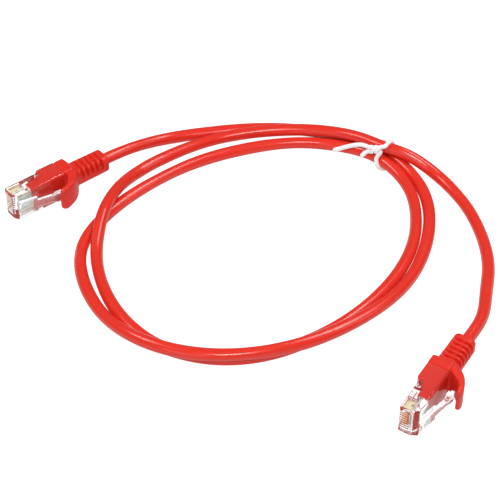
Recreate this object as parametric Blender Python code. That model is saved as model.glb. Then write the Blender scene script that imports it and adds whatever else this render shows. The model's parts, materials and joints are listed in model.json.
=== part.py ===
"""Ethernet patch cable: two RJ45 plugs with moulded boots on a coiled round jacket, held by a twist tie.

The frame is +Z up with the floor at z = 0. Both plugs lie on a narrow side. Each plug is modelled in its own
frame: +X runs from the nose back to the cable, -Y is the latch side and z is the height above the floor.
"""
import math

import bmesh
import bpy
import numpy as np
from mathutils import Vector

MM = 0.001

# Housing of one plug
PLUG_WIDTH = 11.68 * MM         # across the eight contacts, upright as the plug lies
PLUG_AXIS_Z = PLUG_WIDTH / 2
BODY_HALF = 3.3 * MM            # from the plug's axis to its contact face and its latch face
HOUSING_LENGTH = 21.4 * MM
REAR_STEP_X = 13.0 * MM         # where the contact face steps out to the thicker rear half
REAR_STEP = 1.15 * MM
NOSE_FACE = 4.4 * MM            # height of the flat face at the nose, above its lead-in
NOSE_LEAD_IN = 1.2 * MM         # length of the lead-in on the latch side of the nose
EDGE_ROUNDING = 0.2 * MM
BAY_X = 1.4 * MM                # front end of the flat bay that holds the row of conductors
BAY_DEPTH = 1.1 * MM
BAY_WIDTH = 8.5 * MM
CAVITY_X = 7.3 * MM             # front end of the rear cavity, which opens at the back
CAVITY_STEP_X = 13.9 * MM       # where the cavity's roof steps up
CAVITY_FLOOR_Y = -2.6 * MM
CAVITY_FRONT_ROOF_Y = 0.8 * MM
CAVITY_SLOPE_X = 10.6 * MM      # the roof slopes up from here to just in front of the step
CAVITY_SLOPE_END_X = 12.6 * MM
CAVITY_SLOPE_END_Y = 1.9 * MM
CAVITY_ROOF_Y = 4.0 * MM
CAVITY_WIDTH = 9.8 * MM
WINDOW_X = 14.3 * MM            # the window in the contact face, with its pressed-down bar
WINDOW_LENGTH = 3.7 * MM
WINDOW_WIDTH = 5.4 * MM
BAR_GAP = 0.3 * MM              # between the bar and the window's edges
BAR_LOW_Y = 2.9 * MM
BAR_FRONT_RISE = 1.25 * MM
BAR_BACK_RISE = 0.5 * MM
PAST = 1.0 * MM                 # how far a cutter runs past the surface that it opens

# Contacts and conductors
CONTACTS = 8
PITCH = 1.02 * MM
SLOT_WIDTH = 0.5 * MM
SLOT_LENGTH = 6.2 * MM
SLOT_FLOOR_Y = -0.9 * MM
BLADE_THICKNESS = 0.32 * MM
BLADE_X = 1.2 * MM
BLADE_END_X = 5.4 * MM
BLADE_CROWN_Y = 2.75 * MM
BLADE_HEEL_Y = 1.35 * MM
BLADE_WEB_Y = 0.6 * MM          # the blade's lower edge between its two teeth
TOOTH_GAP = 0.05 * MM           # between a tooth and its conductor
WIRE_DIAMETER = 0.9 * MM
WIRE_ROW_Y = -0.6 * MM
WIRE_TIP_X = 1.8 * MM
WIRE_LAYERS_Y = (-1.2 * MM, -0.16 * MM)         # the conductors lie in two layers behind the contacts
WIRE_GATHERED_PITCH = 1.0 * MM
WIRE_FAN = [                    # place in mm, share of the move into layers, share of the move together
    (8.5, 0, 0), (9.2, 0.5, 0), (9.9, 1, 0), (11.2, 1, 0.2), (12.4, 1, 0.65), (13.6, 1, 1), (14.6, 1, 1),
]

# Latch lever, which is wide up to its shoulders and then narrow, with a paddle at its end
HINGE_X = 1.9 * MM
HINGE_Y = -4.05 * MM
LEVER_LENGTH = 16.2 * MM
LEVER_SLOPE = math.radians(10.5)
LEVER_THICKNESS = 0.95 * MM
WIDE_HALF = 3.1 * MM
NARROW_HALF = 1.62 * MM
PADDLE_HALF = 2.3 * MM
SHOULDER_REACH = 6.4 * MM
PADDLE_REACH = 12.4 * MM
PADDLE_FLARE = 1.6 * MM
LEVER_CORNER = 0.6 * MM
ROOT_RADIUS = 0.62 * MM

# Boot
JACKET_DIAMETER = 4.4 * MM
BORE_DIAMETER = 4.7 * MM
JOINT_GAP = 0.3 * MM            # between the free cable and the stretch inside each boot
BLOCK_FRONT_X = 21.7 * MM
SHOULDER_X = 25.2 * MM          # where the block starts to narrow
NECK_X = 27.3 * MM
BOOT_END_X = 40.6 * MM
BLOCK_HALF_WIDTH = 5.75 * MM
BLOCK_CORNER = 0.9 * MM
NECK_HALF = (4.0 * MM, 3.6 * MM)                # half across and half height; the relief tapers a little
END_HALF = (3.9 * MM, 3.5 * MM)
RIB_CORNER = 2.2 * MM
GROOVES = 5
GROOVE_DEPTH = 0.95 * MM
GROOVE_CORNER_SHARE = 0.5       # of the groove's depth that is left at the corners and beside the spines
GROOVE_SHARE = 0.45             # of each groove's pitch
GROOVE_DRAFT = 0.15 * MM
FIRST_GROOVE = 0.9 * MM         # from the neck to the first groove
COLLAR_LENGTH = 2.6 * MM        # the plain collar at the boot's end
COLLAR_CHAMFER = 0.5 * MM
SPINE_HALF = 0.45 * MM          # the spines above and below the cable, which no groove crosses
SPINE_FOOT_HALF = 0.8 * MM
CORNER_STEPS = 3
HOOD_HALF_WIDTH = 4.8 * MM
HOOD_FRONT_X = 15.2 * MM
HOOD_CORNER = 2.4 * MM
HOOD_REACH = 12.0 * MM
HOOD_OUTSIDE = [(28.0, -2.2), (26.6, -4.6), (25.0, -6.5), (22.5, -8.45), (19.4, -9.8), (16.4, -10.3)]
HOOD_INSIDE = [
    (15.5, -9.8), (15.5, -8.9), (17.4, -8.45), (19.4, -7.4), (20.9, -5.8), (21.7, -3.8), (22.4, -2.4),
]
INSERT_GAP = 0.15 * MM          # between the housing's cavity and the insert that fills it
INSERT_WALL = 0.5 * MM
INSERT_ROOF = 0.2 * MM          # wall between the conductors and the front of the cavity's roof
JACKET_END_X = 14.9 * MM        # where the jacket ends inside the boot, and the conductors fan out
JACKET_END_GAP = 0.6 * MM

# Twist tie. Its own frame is outward from the middle of the coil, up, and along the strands, in mm.
TIE_RADIUS = 0.75 * MM
TIE_GAP = 0.35 * MM
TIE_X = 56.4 * MM
TIE_Y = 65.2 * MM
RUN_HEADING = math.radians(-42.0)
OUTER_STRAND = (2.35, 4.10)                     # outward and up, where each strand passes the tie
INNER_STRAND = (-2.35, 4.10)
TOP_STRAND = (0.0, 8.10)
TIE_WRAPS = [                                   # centre, first and last angle, first and last place along
    ((0.3, 8.15), 120, 5, 2.6, 1.8), (OUTER_STRAND, 30, -90, 2.2, 3.2), ((-2.65, 4.1), -90, -215, 3.4, 0.4),
]
TWIST_BASE = (-3.9, 9.4, 0.6)
TWIST_TOP = (-4.15, 8.6, -3.2)
TWIST_RADIUS = 0.85 * MM
TWIST_TURN = 360
TWIST_PHASE = 80
TIE_TAIL_A = [
    (-4.2, 9.3, -4.6), (-5.1, 9.5, -6.4), (-6.9, 9.1, -8.3), (-9.3, 8.0, -10.8), (-11.5, 6.8, -13.4),
]
TIE_TAIL_B = [(-5.2, 7.6, -4.0), (-6.6, 7.0, -4.5), (-7.8, 6.3, -5.0)]

# Where each plug's nose lies and which way its cable leaves, in mm and degrees
PLUGS = {
    "plug_a": (-78.65, 35.07, 38.5),
    "plug_b": (56.45, -67.43, 58.3),
}

# The cable's route in mm, from boot A to boot B. It passes the tie between each list and the next.
LEAD_A = [
    (-36.7, 68.6, 4.8), (-26.1, 75.8, 2.7), (-9.8, 80.4, 2.2), (9.0, 83.1, 2.2),
    (28.9, 81.8, 2.2), (42.4, 77.9, 2.3), (50.3, 73.4, 3.2),
]
TURN_1 = [
    (63.5, 60.8, 3.3), (68.0, 53.4, 2.3), (71.3, 41.1, 2.2), (70.3, 23.4, 2.2), (64.6, 5.3, 2.2),
    (54.3, -10.6, 3.4), (40.5, -23.5, 4.8), (23.4, -33.7, 5.8), (5.1, -38.6, 6.3), (-13.8, -37.6, 6.1),
    (-30.8, -29.6, 4.9), (-43.7, -14.7, 2.3), (-51.0, 2.7, 2.2), (-51.5, 18.7, 2.2), (-46.4, 30.5, 2.2),
    (-38.9, 41.1, 2.2), (-29.1, 51.1, 2.2), (-13.0, 62.9, 2.2), (4.4, 70.5, 2.2), (22.9, 74.4, 2.2),
    (39.0, 72.8, 2.4), (47.4, 69.1, 3.3),
]
TURN_2 = [
    (60.6, 57.1, 3.3), (64.7, 49.3, 2.4), (66.7, 36.6, 2.2), (64.7, 19.4, 2.2), (57.4, 1.9, 2.2),
    (45.3, -13.9, 2.2), (30.7, -26.1, 2.2), (13.8, -34.5, 2.2), (-4.9, -36.7, 2.2), (-23.7, -30.4, 2.2),
    (-36.7, -16.7, 2.2), (-44.3, 0.6, 2.2), (-46.7, 17.2, 3.3), (-45.1, 29.6, 6.7), (-42.1, 41.2, 6.0),
    (-36.4, 54.5, 2.7), (-22.5, 67.3, 2.3), (-5.8, 76.0, 2.7), (12.9, 78.7, 4.4), (32.7, 77.6, 5.7),
    (41.5, 75.2, 6.3), (49.2, 70.7, 7.4),
]
LEAD_B = [
    (64.2, 61.4, 7.7), (72.7, 57.0, 4.6), (81.8, 45.8, 2.3), (88.4, 27.0, 2.2), (89.9, 8.1, 2.3),
    (87.3, -8.5, 4.3), (84.3, -21.3, 5.4),
]
STRETCH_POINTS = (12, 30, 30, 11)       # along lead A, turn 1, turn 2 and lead B

COLOURS = {
    "clear": ((0.90, 0.93, 0.93), 0.08, 0.0),
    "gold": ((0.83, 0.58, 0.20), 0.25, 1.0),
    "jacket_red": ((0.80, 0.035, 0.02), 0.30, 0.0),
    "boot_red": ((0.78, 0.03, 0.02), 0.42, 0.0),
    "tie_white": ((0.90, 0.90, 0.88), 0.50, 0.0),
}
WIRE_COLOURS = [
    ("white_orange", (0.90, 0.62, 0.42)), ("orange", (0.85, 0.25, 0.03)), ("white_green", (0.55, 0.80, 0.58)),
    ("blue", (0.03, 0.10, 0.55)), ("white_blue", (0.52, 0.62, 0.85)), ("green", (0.02, 0.35, 0.08)),
    ("white_brown", (0.70, 0.55, 0.45)), ("brown", (0.22, 0.08, 0.03)),
]


def clear_scene():
    for obj in list(bpy.data.objects):
        bpy.data.objects.remove(obj, do_unlink=True)


def material(name, colour, roughness, metallic):
    mat = bpy.data.materials.get(name)
    if mat is None:
        mat = bpy.data.materials.new(name)
        mat.use_nodes = True
        shader = mat.node_tree.nodes["Principled BSDF"]
        shader.inputs["Base Color"].default_value = (*colour, 1.0)
        shader.inputs["Roughness"].default_value = roughness
        shader.inputs["Metallic"].default_value = metallic
    return mat


def finish(name):
    return material(name, *COLOURS[name])


def add_object(name, data, parent=None, mat=None):
    obj = bpy.data.objects.new(name, data)
    bpy.context.scene.collection.objects.link(obj)
    obj.parent = parent
    if mat is not None:
        data.materials.append(mat)
    return obj


def mesh_from(bm, name, smooth=False):
    bmesh.ops.recalc_face_normals(bm, faces=bm.faces)
    mesh = bpy.data.meshes.new(name)
    bm.to_mesh(mesh)
    bm.free()
    if smooth:
        mesh.shade_smooth()
        mesh.set_sharp_from_angle(angle=math.radians(40))
    return mesh


def add_prism(bm, outline, low, high, upright=True):
    """A closed prism on an outline in the XY plane between two heights, or in the XZ plane if not upright."""
    bottom = [bm.verts.new((u, v, low) if upright else (u, low, v)) for u, v in outline]
    top = [bm.verts.new((u, v, high) if upright else (u, high, v)) for u, v in outline]
    bm.faces.new(bottom)
    bm.faces.new(top)
    for i in range(len(outline)):
        j = (i + 1) % len(outline)
        bm.faces.new((bottom[i], bottom[j], top[j], top[i]))


def add_box(bm, low, high):
    outline = [(low[0], low[1]), (high[0], low[1]), (high[0], high[1]), (low[0], high[1])]
    add_prism(bm, outline, low[2], high[2])


def add_loft(bm, rings):
    """A closed skin through rings of equal length, capped at both ends."""
    loops = [[bm.verts.new(point) for point in ring] for ring in rings]
    count = len(loops[0])
    for first, second in zip(loops, loops[1:]):
        for i in range(count):
            j = (i + 1) % count
            bm.faces.new((first[i], first[j], second[j], second[i]))
    bm.faces.new(loops[0])
    bm.faces.new(loops[-1])


def add_rod(bm, x_low, x_high, radius, sides):
    """A round rod along X, centred on the plug's axis."""
    rings = []
    for x in (x_low, x_high):
        turn = [2 * math.pi * k / sides for k in range(sides)]
        rings.append([(x, radius * math.cos(a), PLUG_AXIS_Z + radius * math.sin(a)) for a in turn])
    add_loft(bm, rings)


def boolean(obj, other, operation):
    modifier = obj.modifiers.new(operation.lower(), "BOOLEAN")
    modifier.operation = operation
    modifier.object = other
    modifier.solver = "EXACT"


def add_guide(name, bm, parent):
    """A helper body for a Boolean, which isn't a piece of the cable."""
    guide = add_object(name, mesh_from(bm, name), parent)
    guide.hide_render = True
    guide.display_type = "WIRE"
    return guide


def contact_height(index):
    return PLUG_AXIS_Z + (index - (CONTACTS - 1) / 2) * PITCH


def add_cavity_shape(bm, gap, back):
    """The shape of the housing's rear cavity, or of what fills it with a gap all round."""
    outline = [
        (CAVITY_X + gap, CAVITY_FLOOR_Y + gap), (back, CAVITY_FLOOR_Y + gap), (back, CAVITY_ROOF_Y - gap),
        (CAVITY_STEP_X + gap, CAVITY_ROOF_Y - gap), (CAVITY_STEP_X + gap, CAVITY_SLOPE_END_Y - gap),
        (CAVITY_SLOPE_END_X, CAVITY_SLOPE_END_Y - gap), (CAVITY_SLOPE_X, CAVITY_FRONT_ROOF_Y - gap),
        (CAVITY_X + gap, CAVITY_FRONT_ROOF_Y - gap),
    ]
    half = CAVITY_WIDTH / 2 - gap
    add_prism(bm, outline, PLUG_AXIS_Z - half, PLUG_AXIS_Z + half)


def housing(prefix, frame):
    """The clear moulded shell, with its comb of contact slots, conductor bay and rear cavity."""
    outer = BODY_HALF + REAR_STEP
    outline = [
        (0, BODY_HALF), (0, BODY_HALF - NOSE_FACE), (NOSE_LEAD_IN, -BODY_HALF),
        (HOUSING_LENGTH, -BODY_HALF), (HOUSING_LENGTH, outer), (REAR_STEP_X + REAR_STEP, outer),
        (REAR_STEP_X, BODY_HALF),
    ]
    bm = bmesh.new()
    add_prism(bm, outline, 0, PLUG_WIDTH)
    shell = add_object(prefix + "_housing", mesh_from(bm, prefix + "_housing"), frame, finish("clear"))
    rounding = shell.modifiers.new("edge_rounding", "BEVEL")
    rounding.width = EDGE_ROUNDING
    rounding.segments = 1
    rounding.limit_method = "ANGLE"

    slots = bmesh.new()
    for index in range(CONTACTS):
        z = contact_height(index)
        low = (-PAST, SLOT_FLOOR_Y, z - SLOT_WIDTH / 2)
        add_box(slots, low, (SLOT_LENGTH, BODY_HALF + PAST, z + SLOT_WIDTH / 2))
    boolean(shell, add_guide(prefix + "_slot_cutter", slots, frame), "DIFFERENCE")

    bay = bmesh.new()
    add_box(bay, (BAY_X, WIRE_ROW_Y - BAY_DEPTH / 2, PLUG_AXIS_Z - BAY_WIDTH / 2),
            (CAVITY_X + PAST, WIRE_ROW_Y + BAY_DEPTH / 2, PLUG_AXIS_Z + BAY_WIDTH / 2))
    boolean(shell, add_guide(prefix + "_bay_cutter", bay, frame), "DIFFERENCE")

    cavity = bmesh.new()
    add_cavity_shape(cavity, 0, HOUSING_LENGTH + PAST)
    boolean(shell, add_guide(prefix + "_cavity_cutter", cavity, frame), "DIFFERENCE")

    window = bmesh.new()
    add_box(window, (WINDOW_X, CAVITY_ROOF_Y - PAST, PLUG_AXIS_Z - WINDOW_WIDTH / 2),
            (WINDOW_X + WINDOW_LENGTH, outer + PAST, PLUG_AXIS_Z + WINDOW_WIDTH / 2))
    boolean(shell, add_guide(prefix + "_window_cutter", window, frame), "DIFFERENCE")


def strain_relief_bar(prefix, frame):
    """The wedge in the housing's window that is pressed down over the cable's end."""
    front, back = WINDOW_X + BAR_GAP, WINDOW_X + WINDOW_LENGTH - BAR_GAP
    outline = [
        (front, BAR_LOW_Y), (back, BAR_LOW_Y),
        (back, BAR_LOW_Y + BAR_BACK_RISE), (front, BAR_LOW_Y + BAR_FRONT_RISE),
    ]
    half = WINDOW_WIDTH / 2 - BAR_GAP
    bm = bmesh.new()
    add_prism(bm, outline, PLUG_AXIS_Z - half, PLUG_AXIS_Z + half)
    name = prefix + "_strain_relief_bar"
    add_object(name, mesh_from(bm, name), frame, finish("clear"))


def contacts(prefix, frame):
    """Eight gold blades, each with two teeth that stand on its conductor."""
    tooth = WIRE_ROW_Y + WIRE_DIAMETER / 2 + TOOTH_GAP
    outline = [
        (BLADE_X, BLADE_HEEL_Y), (BLADE_X + 0.4 * MM, BLADE_WEB_Y + 0.25 * MM), (BLADE_X + 0.7 * MM, tooth),
        (BLADE_X + 1.4 * MM, tooth), (BLADE_X + 1.8 * MM, BLADE_WEB_Y), (BLADE_X + 2.4 * MM, BLADE_WEB_Y),
        (BLADE_X + 2.8 * MM, tooth), (BLADE_X + 3.5 * MM, tooth), (BLADE_END_X, BLADE_HEEL_Y),
        (BLADE_END_X, BLADE_CROWN_Y - 0.3 * MM), (BLADE_END_X - 0.3 * MM, BLADE_CROWN_Y),
        (BLADE_X + 0.4 * MM, BLADE_CROWN_Y), (BLADE_X, BLADE_CROWN_Y - 0.4 * MM),
    ]
    for index in range(CONTACTS):
        z = contact_height(index)
        bm = bmesh.new()
        add_prism(bm, outline, z - BLADE_THICKNESS / 2, z + BLADE_THICKNESS / 2)
        name = f"{prefix}_contact_{index + 1}"
        add_object(name, mesh_from(bm, name), frame, finish("gold"))


def tube(name, points, diameter, resolution, parent, mat):
    """A round tube with filled ends along a list of points."""
    curve = bpy.data.curves.new(name, "CURVE")
    curve.dimensions = "3D"
    curve.bevel_depth = diameter / 2
    curve.bevel_resolution = resolution
    curve.use_fill_caps = True
    spline = curve.splines.new("POLY")
    spline.points.add(len(points) - 1)
    for point, place in zip(spline.points, points):
        point.co = (*place, 1.0)
    spline.use_smooth = True
    return add_object(name, curve, parent, mat)


def conductors(prefix, frame):
    """Eight insulated wires, from the flat row under the contacts to two layers at the jacket's end."""
    for index, (colour_name, colour) in enumerate(WIRE_COLOURS):
        row_z = contact_height(index)
        layer_y = WIRE_LAYERS_Y[index % 2]
        gathered_z = PLUG_AXIS_Z + (index // 2 - 1.5) * WIRE_GATHERED_PITCH
        points = [(WIRE_TIP_X, WIRE_ROW_Y, row_z)]
        for place, layered, gathered in WIRE_FAN:
            y = WIRE_ROW_Y + (layer_y - WIRE_ROW_Y) * layered
            points.append((place * MM, y, row_z + (gathered_z - row_z) * gathered))
        wire_finish = material("wire_" + colour_name, colour, 0.4, 0.0)
        tube(f"{prefix}_conductor_{index + 1}", points, WIRE_DIAMETER, 1, frame, wire_finish)


def jacket_end(prefix, frame):
    """The last stretch of the cable, gripped inside the boot and the housing."""
    bm = bmesh.new()
    add_rod(bm, JACKET_END_X, BOOT_END_X, JACKET_DIAMETER / 2, 12)
    name = prefix + "_jacket_end"
    add_object(name, mesh_from(bm, name, smooth=True), frame, finish("jacket_red"))


def boot_ring(x, half_y, half_z, corner, y_mid=0, groove=0):
    """A rounded rectangle across the boot. A groove is cut in from both sides, as far as the two spines."""
    ring = []
    for quarter in range(4):
        sign_y = 1 if quarter in (0, 3) else -1
        sign_z = 1 if quarter in (0, 1) else -1
        for k in range(CORNER_STEPS + 1):
            angle = math.radians(90) * (quarter + k / CORNER_STEPS)
            share = GROOVE_CORNER_SHARE + (1 - GROOVE_CORNER_SHARE) * math.cos(angle) ** 4
            y = sign_y * (half_y - corner) + (corner - groove * share) * math.cos(angle)
            z = sign_z * (half_z - corner) + (corner - groove * share) * math.sin(angle)
            ring.append((x, y_mid + y, PLUG_AXIS_Z + z))
        if quarter % 2 == 0:
            foot, crest = SPINE_FOOT_HALF * sign_y, SPINE_HALF * sign_y
            shallow = groove * GROOVE_CORNER_SHARE
            for y, depth in ((foot, shallow), (crest, 0), (-crest, 0), (-foot, shallow)):
                ring.append((x, y_mid + y, PLUG_AXIS_Z + sign_z * (half_z - depth)))
    return ring


def relief_ring(x, groove):
    along = (x - NECK_X) / (BOOT_END_X - NECK_X)
    half_y, half_z = (neck + (end - neck) * along for neck, end in zip(NECK_HALF, END_HALF))
    return boot_ring(x, half_y, half_z, RIB_CORNER, groove=groove)


def boot_body():
    """The block behind the housing, which narrows to a ribbed strain relief with a plain collar."""
    wide = (BODY_HALF + REAR_STEP / 2, BLOCK_HALF_WIDTH, BLOCK_CORNER, REAR_STEP / 2)
    rings = [boot_ring(BLOCK_FRONT_X, *wide), boot_ring(SHOULDER_X, *wide), relief_ring(NECK_X, 0)]
    pitch = (BOOT_END_X - COLLAR_LENGTH - NECK_X) / GROOVES
    for index in range(GROOVES):
        start = NECK_X + pitch * index + FIRST_GROOVE
        end = start + pitch * GROOVE_SHARE
        rings.append(relief_ring(start, 0))
        rings.append(relief_ring(start + GROOVE_DRAFT, GROOVE_DEPTH))
        rings.append(relief_ring(end - GROOVE_DRAFT, GROOVE_DEPTH))
        rings.append(relief_ring(end, 0))
    tip_y, tip_z = (half - COLLAR_CHAMFER for half in END_HALF)
    rings.append(relief_ring(BOOT_END_X - COLLAR_CHAMFER, 0))
    rings.append(boot_ring(BOOT_END_X, tip_y, tip_z, RIB_CORNER - COLLAR_CHAMFER))
    bm = bmesh.new()
    add_loft(bm, rings)
    return bm


def hood(prefix, frame):
    """The tongue that rises from the block and reaches forward over the latch's paddle."""
    side = bmesh.new()
    add_prism(side, [(x * MM, y * MM) for x, y in HOOD_OUTSIDE + HOOD_INSIDE],
              PLUG_AXIS_Z - HOOD_HALF_WIDTH, PLUG_AXIS_Z + HOOD_HALF_WIDTH)
    shape = add_guide(prefix + "_hood_shape", side, frame)
    half_plan = [(HOOD_OUTSIDE[0][0] * MM + PAST, HOOD_HALF_WIDTH)]
    steps = 4
    for k in range(steps + 1):
        angle = math.radians(90 * k / steps)
        half_plan.append((HOOD_FRONT_X + HOOD_CORNER * (1 - math.sin(angle)),
                          HOOD_HALF_WIDTH - HOOD_CORNER * (1 - math.cos(angle))))
    plan = bmesh.new()
    outline = half_plan + [(x, -z) for x, z in reversed(half_plan)]
    add_prism(plan, [(x, PLUG_AXIS_Z + z) for x, z in outline], -HOOD_REACH, 0, upright=False)
    boolean(shape, add_guide(prefix + "_hood_plan", plan, frame), "INTERSECT")
    return shape


def boot(prefix, frame):
    """The red overmoulding: an insert in the housing, a block, a ribbed relief and a hood over the latch."""
    name = prefix + "_boot"
    body = add_object(name, mesh_from(boot_body(), name, smooth=True), frame, finish("boot_red"))

    insert = bmesh.new()
    add_cavity_shape(insert, INSERT_GAP, BLOCK_FRONT_X + PAST)
    boolean(body, add_guide(prefix + "_insert_shape", insert, frame), "UNION")
    boolean(body, hood(prefix, frame), "UNION")

    pocket = bmesh.new()
    half_width = WINDOW_WIDTH / 2 + BAR_GAP
    add_box(pocket, (CAVITY_STEP_X, BAR_LOW_Y - BAR_GAP, PLUG_AXIS_Z - half_width),
            (WINDOW_X + WINDOW_LENGTH + BAR_GAP, CAVITY_ROOF_Y + PAST, PLUG_AXIS_Z + half_width))
    boolean(body, add_guide(prefix + "_bar_pocket_cutter", pocket, frame), "DIFFERENCE")

    bore = bmesh.new()
    add_rod(bore, JACKET_END_X - JACKET_END_GAP, BOOT_END_X + PAST, BORE_DIAMETER / 2, 12)
    boolean(body, add_guide(prefix + "_bore_cutter", bore, frame), "DIFFERENCE")

    fan = bmesh.new()
    wall = INSERT_GAP + INSERT_WALL
    half_width = CAVITY_WIDTH / 2 - wall
    add_box(fan, (CAVITY_X - PAST, CAVITY_FLOOR_Y + wall, PLUG_AXIS_Z - half_width),
            (JACKET_END_X - JACKET_END_GAP / 2, CAVITY_FRONT_ROOF_Y - INSERT_GAP - INSERT_ROOF,
             PLUG_AXIS_Z + half_width))
    boolean(body, add_guide(prefix + "_fan_cutter", fan, frame), "DIFFERENCE")


def latch(prefix, frame):
    """The lever that springs from the nose: a wide part, two shoulders and a narrow tongue."""
    pivot = bpy.data.objects.new(prefix + "_latch_hinge", None)
    bpy.context.scene.collection.objects.link(pivot)
    pivot.parent = frame
    pivot.location = (HINGE_X, HINGE_Y, 0)
    pivot.rotation_euler = (0, 0, -LEVER_SLOPE)
    half = LEVER_THICKNESS / 2
    root_end = 1.5 * ROOT_RADIUS
    profile = [
        (-0.5 * ROOT_RADIUS, -0.8 * ROOT_RADIUS), (root_end, -half), (LEVER_LENGTH - LEVER_CORNER / 2, -half),
        (LEVER_LENGTH, 0), (LEVER_LENGTH, half), (root_end, half), (-0.3 * ROOT_RADIUS, 0.9 * ROOT_RADIUS),
        (-ROOT_RADIUS, 0),
    ]
    bm = bmesh.new()
    add_prism(bm, profile, PLUG_AXIS_Z - WIDE_HALF - PAST, PLUG_AXIS_Z + WIDE_HALF + PAST)
    name = prefix + "_latch"
    lever = add_object(name, mesh_from(bm, name), pivot, finish("clear"))
    half_plan = [
        (-PAST, WIDE_HALF), (SHOULDER_REACH, WIDE_HALF), (SHOULDER_REACH, NARROW_HALF),
        (PADDLE_REACH, NARROW_HALF), (PADDLE_REACH + PADDLE_FLARE, PADDLE_HALF),
        (LEVER_LENGTH - LEVER_CORNER, PADDLE_HALF), (LEVER_LENGTH, PADDLE_HALF - LEVER_CORNER),
    ]
    plan = bmesh.new()
    outline = half_plan + [(x, -z) for x, z in reversed(half_plan)]
    depth = 3 * LEVER_THICKNESS
    add_prism(plan, [(x, PLUG_AXIS_Z + z) for x, z in outline], -depth, depth, upright=False)
    boolean(lever, add_guide(prefix + "_latch_plan", plan, pivot), "INTERSECT")


def plug(prefix, nose_x, nose_y, heading):
    frame = bpy.data.objects.new(prefix + "_frame", None)
    bpy.context.scene.collection.objects.link(frame)
    frame.location = (nose_x * MM, nose_y * MM, 0)
    frame.rotation_euler = (0, 0, math.radians(heading))
    housing(prefix, frame)
    strain_relief_bar(prefix, frame)
    contacts(prefix, frame)
    conductors(prefix, frame)
    jacket_end(prefix, frame)
    boot(prefix, frame)
    latch(prefix, frame)


def smooth_curve(points, steps):
    """The natural cubic spline through the given points, with a number of steps from each to the next."""
    knots = np.array(points, dtype=float)
    spans = np.linalg.norm(np.diff(knots, axis=0), axis=1)
    size = len(knots)
    system = np.eye(size)
    target = np.zeros((size, 3))
    for i in range(1, size - 1):
        before, after = spans[i - 1], spans[i]
        system[i, i - 1:i + 2] = (before, 2 * (before + after), after)
        target[i] = 6 * ((knots[i + 1] - knots[i]) / after - (knots[i] - knots[i - 1]) / before)
    bend = np.linalg.solve(system, target)
    curve = []
    for i, span in enumerate(spans):
        for t in np.linspace(0, span, steps, endpoint=False):
            u = span - t
            point = (bend[i] * u ** 3 + bend[i + 1] * t ** 3) / (6 * span)
            point += (knots[i] / span - bend[i] * span / 6) * u
            point += (knots[i + 1] / span - bend[i + 1] * span / 6) * t
            curve.append(point)
    curve.append(knots[-1])
    return np.array(curve)


def evenly_spaced(curve, count):
    lengths = np.linalg.norm(np.diff(curve, axis=0), axis=1)
    travelled = np.concatenate([[0], np.cumsum(lengths)])
    stations = np.linspace(0, travelled[-1], count)
    return np.stack([np.interp(stations, travelled, curve[:, axis]) for axis in range(3)], axis=-1)


def boot_exit(prefix):
    """Where the free cable starts, a joint's gap past the boot's end, in mm."""
    nose_x, nose_y, heading = PLUGS[prefix]
    reach = (BOOT_END_X + JOINT_GAP) / MM
    turn = math.radians(heading)
    return (nose_x + reach * math.cos(turn), nose_y + reach * math.sin(turn), PLUG_AXIS_Z / MM)


def cable_jacket():
    """The free cable between the two boots, with a point exactly at each pass of the tie."""
    steps = 40
    route = [boot_exit("plug_a")]
    stops = [0]
    strands = (OUTER_STRAND, INNER_STRAND, TOP_STRAND)
    for stretch, (outward, height) in zip((LEAD_A, TURN_1, TURN_2), strands):
        route += stretch
        stops.append(len(route) * steps)
        route.append(tuple(tie_point(outward, height, 0) / MM))
    route += LEAD_B + [boot_exit("plug_b")]
    stops.append((len(route) - 1) * steps)
    curve = smooth_curve(route, steps) * MM
    curve[:, 2] = np.maximum(curve[:, 2], JACKET_DIAMETER / 2)
    places = []
    for first, last, count in zip(stops, stops[1:], STRETCH_POINTS):
        stretch = evenly_spaced(curve[first:last + 1], count).tolist()
        places += [Vector(point) for point in stretch[1 if places else 0:]]
    tube("cable_jacket", places, JACKET_DIAMETER, 2, None, finish("jacket_red"))


def tie_point(outward, height, along):
    """A point given in mm in the tie's own frame."""
    run = Vector((math.cos(RUN_HEADING), math.sin(RUN_HEADING), 0))
    out = Vector((-run.y, run.x, 0))
    return Vector((TIE_X, TIE_Y, height * MM)) + out * (outward * MM) + run * (along * MM)


def twist_tie():
    """One coated wire: a loop round the three strands, a twist of both ends and two loose tails."""
    reach = (JACKET_DIAMETER / 2 + TIE_GAP + TIE_RADIUS) / MM
    loop = []
    for (centre_out, centre_up), start, end, first, last in TIE_WRAPS:
        steps = round((start - end) / 25)
        for k in range(steps + 1):
            share = k / steps
            angle = math.radians(start + (end - start) * share)
            along = first + (last - first) * share
            outward = centre_out + reach * math.cos(angle)
            loop.append(tie_point(outward, centre_up + reach * math.sin(angle), along))

    base = tie_point(*TWIST_BASE)
    axis = (tie_point(*TWIST_TOP) - base).normalized()
    length = (tie_point(*TWIST_TOP) - base).length
    across = axis.cross(Vector((0, 0, 1))).normalized()
    rise = across.cross(axis)
    steps = 10
    legs = []
    for phase in (TWIST_PHASE, TWIST_PHASE + 180):
        leg = []
        for k in range(steps + 1):
            angle = math.radians(phase + TWIST_TURN * k / steps)
            offset = rise * math.sin(angle) + across * math.cos(angle)
            leg.append(base + axis * (length * k / steps) + offset * TWIST_RADIUS)
        legs.append(leg)
    tail_a = [tie_point(*point) for point in TIE_TAIL_A]
    tail_b = [tie_point(*point) for point in TIE_TAIL_B]
    path = tail_a[::-1] + legs[0][::-1] + loop + legs[1] + tail_b
    tube("twist_tie", path, 2 * TIE_RADIUS, 2, None, finish("tie_white"))


def build():
    clear_scene()
    for prefix, (nose_x, nose_y, heading) in PLUGS.items():
        plug(prefix, nose_x, nose_y, heading)
    cable_jacket()
    twist_tie()


build()
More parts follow.
